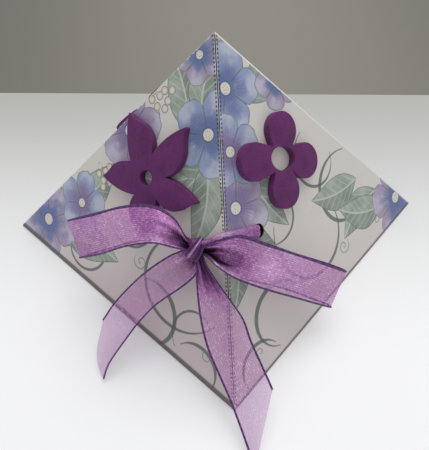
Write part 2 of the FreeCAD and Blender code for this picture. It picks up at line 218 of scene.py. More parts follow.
# materials: groups that several finishes share, with their own few numbers
mottle = {"fine": 0.45, "patch": 0.55}
dash = {"stretch": 1.15, "rowSeed": 3.7, "crossing": 0.4}  # crossing: how much the cross rows count


def makeGrain():
    # fine mottling of a surface, as a number about 0.5 and a small height
    group, w, takes, gives = newGroup("grain", {"Place": "Vector", "Pitch": 0.3, "Patch": 4.0},
                                      {"Mottle": 0, "Height": 0})
    fine = w.noise(takes["Place"], w.math("DIVIDE", 1.0, takes["Pitch"]), 2.0, 0.6)
    patch = w.noise(takes["Place"], w.math("DIVIDE", 1.0, takes["Patch"]), 3.0, 0.55)
    w.put(gives["Mottle"], w.timesPlus(fine, mottle["fine"], w.times(patch, mottle["patch"])))
    w.put(gives["Height"], fine)
    return group


def makeWeave():
    # sheer plain weave on a flat place in mm: how much thread covers a point, lit and dark dashes, a height
    group, w, takes, gives = newGroup("weave", {"Place": "Vector", "Pitch": 0.26, "Row": 0.62, "Slub": 0.5},
                                      {"Cover": 0, "Glint": 0, "Shade": 0, "Height": 0})
    x, y = w.part(takes["Place"], "x"), w.part(takes["Place"], "y")
    turns = w.math("DIVIDE", math.pi, takes["Pitch"])
    warp = w.absolute(w.math("SINE", w.times(x, turns)))
    weft = w.absolute(w.math("SINE", w.times(y, turns)))
    over = w.math("MAXIMUM", warp, weft)
    w.put(gives["Height"], over)

    def dashes(side, along, seed):
        # rows of lit dashes, the dark between the rows, and the noise that breaks both up
        rows = w.math("DIVIDE", side, takes["Row"])
        line = w.math("SINE", w.times(w.math("FRACT", rows), math.pi))
        row = w.times(w.math("FLOOR", rows), dash["rowSeed"])
        spot = w.noise(w.join(row, w.times(along, dash["stretch"]), seed), 1.0, 1.0)
        between = w.times(w.fade(line, 0.25, 0.7, 1.0, 0.0), w.fade(spot, 0.35, 0.6, 0.9, 0.45))
        return w.times(w.fade(line, 0.35, 0.9), w.fade(spot, 0.42, 0.64)), between, spot
    longDash, longGap, longSpot = dashes(x, y, 2.0)
    crossDash, crossGap, crossSpot = dashes(y, x, 9.0)
    w.put(gives["Glint"], w.math("MAXIMUM", longDash, w.times(crossDash, dash["crossing"])))
    w.put(gives["Shade"], w.math("MAXIMUM", longGap, w.times(crossGap, dash["crossing"])))
    slubs = w.minus(w.math("ADD", longSpot, crossSpot), 1.0)
    w.put(gives["Cover"], w.timesPlus(slubs, takes["Slub"], w.fade(over, 0.5, 0.95), clamp=True))
    return group


grain = makeGrain()
weave = makeWeave()


# stage and light
# the table's far tone and its fade are painted shade, where the light falls off towards the back
stage = {"tableEdge": 76.6 * mm, "edgeTurn": -5.3, "side": 3.0,
         "fadeFrom": -66 * mm, "fadeTo": 92 * mm, "fadeLean": 0.1, "behindMiddle": 0.02, "behindSpread": 0.16,
         "near": srgb(252, 253, 254), "far": srgb(177, 178, 173),
         "behind": srgb(136, 133, 122), "behindSide": srgb(108, 107, 99)}
room = {"tint": (0.98, 0.98, 1.0, 1), "strength": 0.51, "lampsFace": Vector((0, 0, 0.02))}


def flatSheet(name, near, far, material):
    # part of the ground, from near to far along Y, turned a little about Z
    bm = bmesh.new()
    bmesh.ops.create_grid(bm, x_segments=1, y_segments=1, size=1)
    for vert in bm.verts:
        vert.co.x *= stage["side"]
        vert.co.y = near if vert.co.y < 0 else far
    bmesh.ops.rotate(bm, verts=bm.verts, matrix=Matrix.Rotation(math.radians(stage["edgeTurn"]), 3, "Z"))
    piece = finishMesh(name, bm, smooth=False)
    piece.data.materials.append(material)
    return piece


def groundMaterial(name, nearTone, farTone, spread=None):
    # pale and matt; its tone follows the way back from the camera, on the table a painted shade that darkens it
    # towards the back, or with a spread to both sides
    material, w, shader = newMaterial(name, Roughness=0.7)
    place = w.node("ShaderNodeTexCoord").outputs["Object"]
    x = w.part(place, "x")
    if spread:
        share = w.fade(w.absolute(w.minus(x, stage["behindMiddle"])), 0.0, spread)
    else:
        back = w.timesPlus(x, stage["fadeLean"], w.part(place, "y"))
        share = w.fade(back, stage["fadeFrom"], stage["fadeTo"])
    w.put(shader["Base Color"], w.blend(share, nearTone, farTone))
    return material


flatSheet("table", -stage["side"], stage["tableEdge"], groundMaterial("tableWhite", stage["near"], stage["far"]))
flatSheet("groundBehind", stage["tableEdge"], stage["side"],
          groundMaterial("groundGrey", stage["behind"], stage["behindSide"], stage["behindSpread"]))

lamps = [
    {"name": "window", "place": (0.2, 0.5, 1.15), "size": 1.0, "watts": 9.4, "tint": (1.0, 0.995, 0.985)},
    {"name": "roomFill", "place": (-0.6, -0.9, 0.9), "size": 1.2, "watts": 1.0, "tint": (1.0, 1.0, 1.0)},
]
for lamp in lamps:
    lampData = bpy.data.lights.new(lamp["name"], "AREA")
    lampData.size = lamp["size"]
    lampData.energy = lamp["watts"]
    lampData.color = lamp["tint"]
    lampPiece = bpy.data.objects.new(lamp["name"], lampData)
    bpy.context.scene.collection.objects.link(lampPiece)
    lampPiece.location = lamp["place"]
    lampPiece.rotation_euler = (room["lampsFace"] - Vector(lamp["place"])).to_track_quat("-Z", "Y").to_euler()

world = bpy.data.worlds.new("room")
bpy.context.scene.world = world
world.use_nodes = True
world.node_tree.nodes["Background"].inputs["Color"].default_value = room["tint"]
world.node_tree.nodes["Background"].inputs["Strength"].default_value = room["strength"]
print("stage, lamps and camera are set")

# organza ribbon
ribbon = {"width": 12.0, "steps": 6, "across": 26, "merge": 0.01,
          "tie": 50.5, "knotFrom": (-8.56, -3, -1.4),  # up the front edge; the knot's place from there
          "pleats": 2.5, "pleatDeep": 0.8, "pleatPhase": 0.6, "cutLeaves": 0.015,
          "pitch": 0.24, "row": 0.62, "slub": 0.4, "border": (5.2, 5.9), "relief": 0.00004,
          "litTone": 0.55, "metal": (0.15, 0.95), "rough": (0.5, 0.34),
          # how opaque it is where bare, and what threads, shine, border, folds and gathers add
          "bare": 0.24, "threads": 0.28, "shine": 0.2, "edging": 0.15, "folded": 0.6, "gathered": 0.85,
          "litFold": (1.5, -0.55),  # how far a lit fold counts as doubled cloth
          "tint": {"deep": (0.12, 0.016, 0.135, 1), "thread": (0.52, 0.15, 0.53, 1),
                   "glint": (0.95, 0.62, 0.95, 1), "hollowShade": (0.012, 0.001, 0.012, 1)}}
ribbonLayers = ("gather", "hollowShade", "lit")


def makeOrganza():
    # sheer weave: fewer gaps and a deeper tone where the ribbon is gathered, partly from its denser cloth and partly
    # as painted shade in its folds; painted shade where it lies in a hollow, and painted glints where it is lit
    tint = ribbon["tint"]
    material, w, shader = newMaterial("organza", Sheen_Weight=0.25, Sheen_Roughness=0.35,
                                      Sheen_Tint=(1.0, 0.6, 1.0, 1))
    place = w.node("ShaderNodeUVMap").outputs["UV"]
    cloth = w.use(weave, Place=place, Pitch=ribbon["pitch"], Row=ribbon["row"], Slub=ribbon["slub"])
    gather, hollowShade, lit = (w.node("ShaderNodeAttribute", attribute_name=name).outputs["Fac"]
                           for name in ribbonLayers)
    patch = w.noise(place, 0.2, 2.0)
    shade = w.times(cloth["Shade"], w.fade(gather, 0.0, 1.0, 0.6, 0.85))
    tone = w.blend(shade, tint["thread"], tint["deep"])
    # gathered cloth turns to the deep tone: partly its denser layers, partly painted shade in its folds
    tone = w.blend(w.fade(gather, 0.25, 1.0, 0.0, 0.8), tone, tint["deep"])
    # painted glints: patches of sheen and the painted highlights of folds light up the woven dashes
    shine = w.times(w.fade(patch, 0.35, 0.65, 0.3, 0.8), w.fade(gather, 0.2, 1.0, 1.0, 0.4))
    shine = w.times(cloth["Glint"], w.math("MAXIMUM", shine, lit))
    tone = w.blend(w.timesPlus(lit, ribbon["litTone"], shine, clamp=True), tone, tint["glint"])
    # painted shade in the ribbon's hollows: its tone goes almost black there
    w.put(shader["Base Color"], w.blend(hollowShade, tone, tint["hollowShade"]))
    cover = w.timesPlus(cloth["Cover"], ribbon["threads"], ribbon["bare"])
    cover = w.timesPlus(shine, ribbon["shine"], cover)
    side = w.absolute(w.part(place, "x"))
    cover = w.timesPlus(w.fade(side, *ribbon["border"]), ribbon["edging"], cover)
    doubled = w.math("MAXIMUM", hollowShade, w.timesPlus(lit, *ribbon["litFold"]))
    closed = w.math("MAXIMUM", w.fade(gather, 0.05, 1.0, 0.0, ribbon["gathered"]),
                    w.times(doubled, ribbon["folded"]))
    w.put(shader["Alpha"], w.math("ADD", closed, cover, clamp=True))
    # metallic rises with the painted hollow shade, so that its reflection there takes the dark tone as well
    w.put(shader["Metallic"], w.fade(hollowShade, 0.0, 1.0, *ribbon["metal"]))
    w.put(shader["Roughness"], w.fade(cloth["Cover"], 0.0, 1.0, *ribbon["rough"]))
    w.put(shader["Normal"], w.bump(cloth["Height"], 0.5, ribbon["relief"]))
    return material


def beside(point, right, up, out):
    # a point moved along the front edge's own directions, in mm
    return point + (toRight * right + edgeUp * up + edgeOut * out) * mm


tiePoint = frontCorner + edgeUp * ribbon["tie"] * mm
knotPlace = beside(tiePoint, *ribbon["knotFrom"])


def bow(right, up, out):
    return beside(knotPlace, right, up, out)


def acrossWay(turn, lean):
    a, b = math.radians(turn), math.radians(lean)
    return (toRight * -math.sin(a) * math.cos(b) + edgeUp * math.cos(a) * math.cos(b)
            + edgeOut * math.sin(b)).normalized()


# each station: right, up and out from the knot, turn and lean of the band, its share of the full
# width, how far its middle stands out, how strongly it is pleated, and how dark the painted shade in its
# hollow is (below 0: how strongly a shine is painted on it)
leftLoop = [
    (-0.6, 0.3, 0.6, 15, 0, 0.24, 0.0, 1.0, 1), (-2.6, 1.9, 2.0, 8, -8, 0.36, 0.0, 1.0, 0.95),
    (-5.4, 4.8, 3.4, -8, -25, 0.68, -0.4, 0.6, 0.75), (-11.2, 7.6, 3.7, 3, -30, 0.91, 0.6, 0.15, 0.45),
    (-19.4, 7.2, 0.9, 8, -30, 1, 0.5, 0.0, -0.2), (-27.7, 5, -4, 12, -22, 1, 0.3, 0.0, 0),
    (-34.6, 3.6, -8.5, 17, -16, 1, 0.0, 0.0, 0), (-35.9, 3.3, -10.1, 17, -16, 1, 0.0, 0.0, 0),
    (-34.2, 3.7, -11.3, 17, -16, 1, 0.0, 0.0, 0), (-27, 5.3, -9.6, 12, -22, 1, -0.3, 0.0, 0),
    (-19, 7.2, -6, 8, -30, 1, -0.4, 0.0, 0), (-11.4, 7.5, -2.6, 3, -30, 0.91, -0.5, 0.1, 0.2),
    (-6, 4.8, -0.8, -8, -20, 0.66, -0.4, 0.5, 0.5), (-2.4, 1.6, -0.6, 8, -5, 0.36, 0, 1.0, 0.9),
    (-0.6, 0.3, -0.6, 15, 0, 0.24, 0, 1.0, 1),
]
rightLoop = [
    (0.6, -0.2, 0.5, 8, 0, 0.2, 0.0, 1.0, 1.3), (2.5, -0.5, 2.3, 0, 4, 0.21, -0.5, 1.0, 1.3),
    (6, -1.0, 4.4, -15, -24, 0.58, -2.0, 0.5, 1.6), (11.4, -2.5, 4.8, -12, -20, 0.96, -1.8, 0.1, 0.95),
    (19.4, -6.2, 2.4, -15, -15, 1, -0.2, 0.0, -0.75), (29.2, -10.6, -2.2, -21, -12, 1, 0.5, 0.0, -0.25),
    (41.2, -16.2, -8.8, -28, -9, 1, 0.0, 0.0, 0), (42.7, -16.8, -10.5, -28, -9, 1, 0.0, 0.0, 0),
    (40.8, -15.8, -11.7, -28, -9, 1, 0.0, 0.0, 0), (28.8, -10.2, -7.6, -20, -30, 1, -0.3, 0.0, 0),
    (19.2, -5.9, -2.7, -14, -24, 1, -0.3, 0.0, 0.1), (11.6, -2.4, 3.1, -12, -14, 0.95, -0.2, 0.1, 0.4),
    (6.2, -1.0, 3.2, -15, -4, 0.56, 0, 0.5, 0.8), (2.6, -0.5, 1.4, 0, 0, 0.22, 0, 1.0, 1),
    (0.6, -0.1, -0.4, 8, 0, 0.2, 0, 1.0, 1),
]
leftTail = [
    (-0.7, -1.4, -0.2, 26, 0, 0.3, 0, 1.0, 0.5), (-2.25, -3.85, -0.9, 40, -6, 0.61, 0.3, 0.7, 0.55),
    (-5.0, -5.9, -1.5, 43, -14, 0.78, 0.5, 0.3, 0.25), (-14.76, -12.62, -5.2, 52, -41, 0.97, 0.3, 0.0, 0),
    (-21.4, -19.0, -7.6, 63, -40, 1, 0.2, 0.0, 0), (-25.4, -23.9, -8.0, 70, -40, 1, 0.1, 0.0, 0),
]
leftCut = [(-31.7, -31.9, -9, 71, -38, 1, 0, 0, -0.1), (-34.2, -37.3, -10, 72, -37, 1, 0, 0, -0.2)]
rightTail = [
    (0.6, -1.6, 0.4, 84, 0, 0.2, 0, 1.0, 0.6), (1.65, -5.2, 1.7, 82, 0, 0.25, 0.5, 1.0, 0.5),
    (3.15, -10.2, 3, 80, 0, 0.55, 0.7, 0.8, 0.25), (6.05, -19, 4, 88, 0, 0.95, 0.5, 0.25, 0),
    (7.9, -26.6, 5, 98, 0, 1, 0.2, 0.0, 0), (10.5, -33.6, 6, 102, 0, 1, 0.1, 0.0, 0),
    (13.1, -40.4, 7.3, 102, 0, 1, 0.0, 0.0, 0),
]
rightCut = [(15.8, -48.6, 9.4, 102, 0, 1, 0, 0, -0.35), (18.1, -56.2, 11.8, 102, 0, 1, 0, 0, -0.35)]


def bandPoint(station, ahead, t):
    # place of a point t (-1 to 1) across the band at a station
    right, up, out, turn, lean, share, cup, pleat = station[:8]
    across = acrossWay(turn, lean)
    outward = ahead.cross(across).normalized()
    width = ribbon["width"] * share
    lift = cup * (1 - t * t)
    if pleat > 0 and share < 1:
        deep = width / (math.pi * ribbon["pleats"]) * math.sqrt(1 / share - 1) * ribbon["pleatDeep"]
        lift += pleat * deep * math.sin(math.pi * ribbon["pleats"] * t + ribbon["pleatPhase"])
    return bow(right, up, out) + (across * (t * width / 2) + outward * lift) * mm


def bandDirections(route):
    points = [bow(*station[:3]) for station in route]
    return [(after - before).normalized()
            for before, after in zip(points[:1] + points[:-1], points[1:] + points[-1:])]


# places across a band, -1 at its lower edge and 1 at its upper one
fold = {"line": 0.38, "lineSoft": 0.2, "end": -1.02, "endSoft": 0.7, "litLow": -0.88, "litHigh": 0.43,
        "litHalf": 0.14, "litHighShare": 0.7, "lit": 0.9, "shineFall": 0.6}


def hollowShadeAcross(t):
    # the painted shade of a hollow lies below the fold line and runs out towards the lower edge
    fromLine = min(1.0, max(0.0, (fold["line"] - t) / fold["lineSoft"]))
    return fromLine * min(1.0, max(0.0, (t - fold["end"]) / fold["endSoft"]))


def litAcross(t):
    # a painted highlight on the turned cloth on both sides of a hollow
    low = 1 - abs(t - fold["litLow"]) / fold["litHalf"]
    high = fold["litHighShare"] - abs(t - fold["litHigh"]) / fold["litHalf"]
    return fold["lit"] * max(low, high, 0.0)


def layFlat(bm, made, flatPlace):
    # each point's place on the flat ribbon becomes its UV
    uvLayer = bm.loops.layers.uv.verify()
    for face in {face for vert in made for face in vert.link_faces}:
        for corner in face.loops:
            corner[uvLayer].uv = flatPlace[corner.vert]


def layerOf(bm, name):
    # a number at each point: gather is how tightly the ribbon is drawn together, hollow how much painted
    # shade its fold gets, and lit how much painted highlight its turned edge gets
    return bm.verts.layers.float.get(name) or bm.verts.layers.float.new(name)


def ribbonMesh():
    bm = bmesh.new()
    for name in ribbonLayers:
        layerOf(bm, name)
    bm.loops.layers.uv.verify()
    return bm


def makeBand(bm, route, cutFrom=None, keeps=1):
    # a flat grid of the ribbon's own width, bent along its route; from row cutFrom on, a straight
    # cut runs across it to its edge on the side keeps
    directions = bandDirections(route)
    gatherLayer, hollowShadeLayer, litLayer = (layerOf(bm, name) for name in ribbonLayers)
    lengthAt = [0.0]
    for before, after in zip(route, route[1:]):
        lengthAt.append(lengthAt[-1] + (bow(*after[:3]) - bow(*before[:3])).length / mm)
    rows = len(route)
    made = bmesh.ops.create_grid(bm, x_segments=ribbon["across"], y_segments=rows - 1, size=1)["verts"]
    flatPlace = {}
    for vert in made:
        t = vert.co.x
        row = round((vert.co.y + 1) / 2 * (rows - 1))
        share, deep = route[row][5], route[row][8]
        if cutFrom is not None and row > cutFrom:
            left = 1 - (row - cutFrom) / (rows - 1 - cutFrom) * (1 - ribbon["cutLeaves"])
            t = keeps - keeps * (1 - keeps * t) * left
        vert.co = bandPoint(route[row], directions[row], t)
        vert[gatherLayer] = min(1.0, (1 - share) * 1.5)
        # painted shade where the band lies in a hollow; below 0, a painted shine across it instead
        vert[hollowShadeLayer] = max(0.0, deep) * hollowShadeAcross(t)
        vert[litLayer] = min(1.0, deep) * litAcross(t) if deep > 0 else -deep * (1 - fold["shineFall"] * abs(t))
        flatPlace[vert] = (t * ribbon["width"] / 2, lengthAt[row])
    layFlat(bm, made, flatPlace)
    return lengthAt[-1]


steps = ribbon["steps"]
loopRoutes = [curveThrough(leftLoop, steps), curveThrough(rightLoop, steps)]
leftTailRoute = curveThrough(leftTail + leftCut, steps)
rightTailRoute = curveThrough(rightTail + rightCut, steps)
cutStarts = [(len(leftTail) - 1) * steps, (len(rightTail) - 1) * steps]

bm = ribbonMesh()
ribbonLength = 0.0
for route in loopRoutes:
    ribbonLength += makeBand(bm, route)
ribbonLength += makeBand(bm, leftTailRoute, cutStarts[0], -1)
ribbonLength += makeBand(bm, rightTailRoute, cutStarts[1], 1)
bowPiece = finishMesh("organzaBow", bm)
organza = makeOrganza()
bowPiece.data.materials.append(organza)
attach(bowPiece, "root")
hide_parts("ribbon")
print("ribbon length", round(ribbonLength), "mm")

# the knot: a gathered core with one pleated wrap drawn over it from lower left to upper right
knot = {"core": (2.5, 2.9, 2.2), "coreGrid": (32, 20), "creases": 7, "creaseDeep": 0.07,
        "wrapHalf": 3.4, "wrapOut": 3.0, "wrapWidth": 3.7, "wrapLean": -36, "wrapAside": 0.3, "wrapLong": 26,
        "wrapGrid": (24, 56), "middle": 0.95, "taper": 0.27, "pinch": 0.3, "bulge": 0.6,
        "pleats": 2.0, "pleatHigh": 0.3, "pleatTwist": 0.9, "pleatPhase": 0.4, "gather": 0.8, "shade": 0.6,
        "lit": 0.6, "litAt": -0.35, "litHalf": 0.28, "edgeFrom": 0.04, "edgeLong": 0.4, "edgeRows": 24}


def wrapPoint(share, t):
    # a point of the pleated wrap: share goes once round it, t runs across; narrow above, fuller below
    turn, angle = math.radians(knot["wrapLean"]), share * 2 * math.pi
    along = edgeUp * math.cos(turn) - toRight * math.sin(turn)
    sideways = toRight * math.cos(turn) + edgeUp * math.sin(turn)
    pleat = math.sin(math.pi * knot["pleats"] * t + knot["pleatTwist"] * math.cos(angle) + knot["pleatPhase"])
    lift = knot["pleatHigh"] * pleat + knot["bulge"] * (1 - t * t)
    behind = 1 - knot["pinch"] * (1 - max(0.0, math.sin(angle)))
    wide = knot["wrapWidth"] / 2 * (knot["middle"] - knot["taper"] * math.cos(angle)) * behind
    return knotPlace + (along * (knot["wrapHalf"] + lift * 0.3) * math.cos(angle)
                        + edgeOut * (knot["wrapOut"] + lift) * math.sin(angle)
                        + sideways * (t * wide + knot["wrapAside"])) * mm


def makeWrap(bm):
    gatherLayer, hollowShadeLayer, litLayer = (layerOf(bm, name) for name in ribbonLayers)
    columns, rows = knot["wrapGrid"]
    made = bmesh.ops.create_grid(bm, x_segments=columns, y_segments=rows, size=1)["verts"]
    flatPlace = {}
    for vert in made:
        t, share = vert.co.x, (vert.co.y + 1) / 2
        flatPlace[vert] = (t * ribbon["width"] / 2, share * knot["wrapLong"])
        vert[gatherLayer] = knot["gather"]
        vert[litLayer] = knot["lit"] * max(0.0, 1 - abs(t - knot["litAt"]) / knot["litHalf"])
        # a painted highlight along one fold, painted shade beside it, darkest where the wrap turns under
        vert[hollowShadeLayer] = max(0.0, knot["shade"] - vert[litLayer]) + 0.4 * max(0.0, abs(t) - 0.7) / 0.3
        vert.co = wrapPoint(share, t)
    layFlat(bm, made, flatPlace)
    bmesh.ops.remove_doubles(bm, verts=made, dist=ribbon["merge"] * mm)


bm = ribbonMesh()
gatherLayer = layerOf(bm, "gather")
around, along = knot["coreGrid"]
wide, high, deep = knot["core"]
for vert in bmesh.ops.create_uvsphere(bm, u_segments=around, v_segments=along, radius=1)["verts"]:
    place = vert.co.copy()
    angle = math.atan2(place.y, place.x)
    crease = 1 + knot["creaseDeep"] * math.sin(knot["creases"] * angle + 1.5 * place.z)
    vert.co = bow(place.x * wide * crease, place.y * high * crease, place.z * deep)
    vert[gatherLayer] = 1.0
makeWrap(bm)
knotPiece = finishMesh("knot", bm)
knotPiece.data.materials.append(organza)
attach(knotPiece, "root")

# the gathered strand, from the knot over the front edge, through both holes and back
strand = {"width": 3.9, "pinched": 1.25, "thick": 1.2, "clear": 0.3, "inside": -1.4,
          "rightHole": (11.9, 0.0), "leftHole": (13.8, -2.7),  # away from the edge, up from the tie
          "around": 28, "steps": 5, "rowLong": 0.8,
          # rows where it is least gathered and where a highlight is painted on it, each with its reach in rows
          "gather": 0.65, "looser": 0.55, "looseAt": (28, 13), "lit": 0.9, "litAt": (21, 11)}
wallOut = {"left": Vector((-1, -1, 0)), "right": Vector((1, -1, 0))}


def besideEdge(side, away, out, up=0.0):
    # a point over a front wall: away from the front edge, out of the wall and up the edge, in mm
    across = wallOut[side].normalized()
    normal = (across * (apex.z - cardFoot) + Vector((0, 0, baseSide / 2))).normalized()
    way = edgeUp.cross(normal) if side == "right" else normal.cross(edgeUp)
    return tiePoint + (way * away + normal * out + edgeUp * up) * mm


def strandRoute():
    # points with the strand's width there: pinched over the edge, fuller into the hole
    lift = strand["clear"] + strand["thick"] / 2
    reach = lift + cardThick / 2
    wide, pinched, inside = strand["width"], strand["pinched"], strand["inside"]

    def hole(side, angles):
        # round the hole's rim
        away, up = strand[side + "Hole"]
        turns = [math.radians(angle) for angle in angles]
        return [(*besideEdge(side, away - reach + reach * math.cos(turn), reach * math.sin(turn) - cardThick / 2, up),
                 wide) for turn in turns]
    fromKnot = ((0.6, 0.6, 1.2), (2.4, 1.6, 2.4), (4.8, 2.5, 3.3), (6.5, 3.15, 3.2))
    route = [(*bow(*place), pinched) for place in fromKnot] + [(*bow(8.3, 3.5, 2.7), pinched * 1.1)]
    route += [(*besideEdge("right", 4, lift + 0.3, 0.3), wide * 0.62),
              (*besideEdge("right", 8, lift + 0.15, 0.1), wide * 0.9)]
    route += hole("right", (70, 20, -30, -80)) + [(*besideEdge("right", 5, inside), wide)]
    route += [(*besideEdge("left", 5, inside, -1), wide)] + hole("left", (-80, -30, 20))
    route += [(*besideEdge("left", strand["leftHole"][0] - 1.8, 1.9, -2.8), pinched),
              (*bow(0, 0.6, -1.2), pinched)]
    return curveThrough(route, strand["steps"])


def nearRow(row, place):
    # 1 at a row of the strand, down to 0 at its reach
    middle, reach = place
    return max(0.0, 1 - abs(row - middle) / reach)


def makeStrand(bm, route):
    points = [Vector(point[:3]) for point in route]
    rows = len(points)
    gatherLayer, litLayer = layerOf(bm, "gather"), layerOf(bm, "lit")
    made = bmesh.ops.create_grid(bm, x_segments=strand["around"], y_segments=rows - 1, size=1)["verts"]
    flatPlace = {}
    for vert in made:
        turn = (vert.co.x + 1) * math.pi
        row = round((vert.co.y + 1) / 2 * (rows - 1))
        ahead = (points[min(row + 1, rows - 1)] - points[max(row - 1, 0)]).normalized()
        across = (edgeUp - ahead * edgeUp.dot(ahead)).normalized()
        outward = ahead.cross(across)
        crease = 1 + 0.14 * math.sin(5 * turn + row * 0.1) + 0.07 * math.sin(9 * turn - row * 0.17)
        flatPlace[vert] = (vert.co.x * ribbon["width"] / 2, row * strand["rowLong"])
        vert[gatherLayer] = strand["gather"] - strand["looser"] * nearRow(row, strand["looseAt"])
        # a painted highlight on the strand's outward side
        vert[litLayer] = strand["lit"] * nearRow(row, strand["litAt"]) * max(0.0, math.sin(turn - 0.3))
        vert.co = points[row] + (across * math.cos(turn) * route[row][3] / 2 * (0.94 + 0.06 * crease)
                                 + outward * math.sin(turn) * strand["thick"] / 2 * crease) * mm
    layFlat(bm, made, flatPlace)
    bmesh.ops.remove_doubles(bm, verts=made, dist=ribbon["merge"] * mm)


bm = ribbonMesh()
makeStrand(bm, strandRoute())
strandPiece = finishMesh("gatheredStrand", bm)
strandPiece.data.materials.append(organza)
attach(strandPiece, "root")
print("bow, knot and strand are made")

# the woven edges: a fine cord along each side of the bands, up to the row where a cut begins
selvageRuns = [(route, side, None) for route in loopRoutes for side in (-1, 1)]
selvageRuns += [(leftTailRoute, -1, None), (leftTailRoute, 1, cutStarts[0]),
                (rightTailRoute, 1, None), (rightTailRoute, -1, cutStarts[1])]
selvage = {"thick": 0.29, "flat": 0.7, "inset": 0.1, "around": 8, "merge": 0.005, "fromMiddle": (1, 0.9),
           "stitch": 1.3, "slant": 0.9, "relief": 0.00006,
           "dark": (0.036, 0.005, 0.06, 1), "light": (0.11, 0.022, 0.18, 1)}


def makeSelvageCord():
    # tightly woven edge: dark thread with small lit stitches
    material, w, shader = newMaterial("selvage", Roughness=0.42, Sheen_Weight=0.2, Sheen_Tint=(0.8, 0.7, 1, 1))
    place = w.node("ShaderNodeUVMap").outputs["UV"]
    x, y = w.part(place, "x"), w.part(place, "y")
    slanting = w.timesPlus(y, math.pi / selvage["stitch"], w.times(x, selvage["slant"]))
    stitch = w.absolute(w.math("SINE", slanting))
    w.put(shader["Base Color"], w.blend(w.fade(stitch, 0.35, 0.95), selvage["dark"], selvage["light"]))
    w.put(shader["Normal"], w.bump(stitch, 0.6, selvage["relief"]))
    return material


def bandEdge(route, side, stopRow):
    # the points along one edge of a band, each with a point a little way in
    directions = bandDirections(route)
    rows = len(route) if stopRow is None else stopRow + 1
    return [[bandPoint(route[row], directions[row], side * share) for share in selvage["fromMiddle"]]
            for row in range(rows)]


def wrapEdge(side):
    # the same for the outer half of the knot's wrap
    rounds = [knot["edgeFrom"] + knot["edgeLong"] * row / knot["edgeRows"] for row in range(knot["edgeRows"] + 1)]
    return [[wrapPoint(around, side * share) for share in selvage["fromMiddle"]] for around in rounds]


def makeSelvage(bm, edge):
    rows = len(edge)
    made = bmesh.ops.create_grid(bm, x_segments=selvage["around"], y_segments=rows - 1, size=1)["verts"]
    flatPlace = {}
    for vert in made:
        turn = (vert.co.x + 1) * math.pi
        row = round((vert.co.y + 1) / 2 * (rows - 1))
        outer, inner = edge[row]
        ahead = (edge[min(row + 1, rows - 1)][0] - edge[max(row - 1, 0)][0]).normalized()
        across = (outer - inner).normalized()
        outward = ahead.cross(across).normalized()
        flatPlace[vert] = (vert.co.x, row)
        vert.co = outer + (across * math.cos(turn) * selvage["thick"] - across * selvage["inset"]
                           + outward * math.sin(turn) * selvage["thick"] * selvage["flat"]) * mm
    layFlat(bm, made, flatPlace)
    bmesh.ops.remove_doubles(bm, verts=made, dist=selvage["merge"] * mm)


bm = bmesh.new()
for route, side, stopRow in selvageRuns:
    makeSelvage(bm, bandEdge(route, side, stopRow))
for side in (-1, 1):
    makeSelvage(bm, wrapEdge(side))
bmesh.ops.recalc_face_normals(bm, faces=bm.faces)
selvagePiece = finishMesh("selvages", bm)
selvagePiece.data.materials.append(makeSelvageCord())
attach(selvagePiece, "root")

# foam flowers, die-cut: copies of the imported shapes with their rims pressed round
foam = {"topRim": 0.75, "bottomRim": 0.3, "merge": 0.002, "flat": 0.5, "squareOn": 0.999,
        "grain": 0.5, "patch": 5.0, "rough": (0.72, 0.88), "pits": 0.00012,
        "tint": [(0.088, 0.014, 0.086, 1), (0.15, 0.028, 0.146, 1)]}


def makeFoam():
    # craft foam: matt, closed and finely pitted
    material, w, shader = newMaterial("purpleFoam", Sheen_Weight=0.12, Sheen_Roughness=0.5,
                                      Sheen_Tint=(0.9, 0.4, 0.9, 1), Specular_IOR_Level=0.35)
    place = w.vector("MULTIPLY", w.node("ShaderNodeTexCoord").outputs["Object"], toMm)
    skin = w.use(grain, Place=place, Pitch=foam["grain"], Patch=foam["patch"])
    w.put(shader["Base Color"], w.blend(w.fade(skin["Mottle"], 0.32, 0.68), *foam["tint"]))
    w.put(shader["Roughness"], w.fade(skin["Mottle"], 0.3, 0.7, *foam["rough"]))
    w.put(shader["Normal"], w.bump(skin["Height"], 0.45, foam["pits"]))
    return material


def copyOfNode(name):
    # its loose triangles merged, and flat ones joined
    bm = bmesh.new()
    bm.from_mesh(nodes[name].data)
    bmesh.ops.remove_doubles(bm, verts=bm.verts, dist=foam["merge"] * mm)
    bmesh.ops.dissolve_limit(bm, angle_limit=math.radians(foam["flat"]), verts=bm.verts, edges=bm.edges)
    return bm


def foamFlower(name, node, wallNormal, topRim=foam["topRim"]):
    bm = copyOfNode(node)
    bm.normal_update()
    for up, rim, segments in ((1, topRim, 5), (-1, foam["bottomRim"], 2)):
        caps = [face for face in bm.faces if face.normal.dot(wallNormal) * up > foam["squareOn"]]
        rims = list({edge for face in caps for edge in face.edges})
        bmesh.ops.bevel(bm, geom=rims, offset=rim * mm, offset_type="OFFSET", affect="EDGES",
                        segments=segments, profile=0.5, material=-1, clamp_overlap=True)
    bmesh.ops.triangulate(bm, faces=[face for face in bm.faces if len(face.verts) > 4])
    piece = finishMesh(name, bm)
    piece.data.materials.append(foamPaint)
    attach(piece, "root")
    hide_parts(node)


foamPaint = makeFoam()
upward = math.sqrt(2) * (baseSide / 2 / (apex.z - cardFoot))  # how much a wall's normal leans up
frontLeft, frontRight, backLeft = (Vector((right, back, upward)).normalized()
                                   for right, back in ((-1, -1), (1, -1), (-1, 1)))
foamFlower("starFlower", "star_flower", frontLeft)
foamFlower("rightRoundFlower", "right_round_flower", frontRight)
foamFlower("backRoundFlower", "back_round_flower", backLeft, topRim=foam["bottomRim"])
print("foam flowers are made")

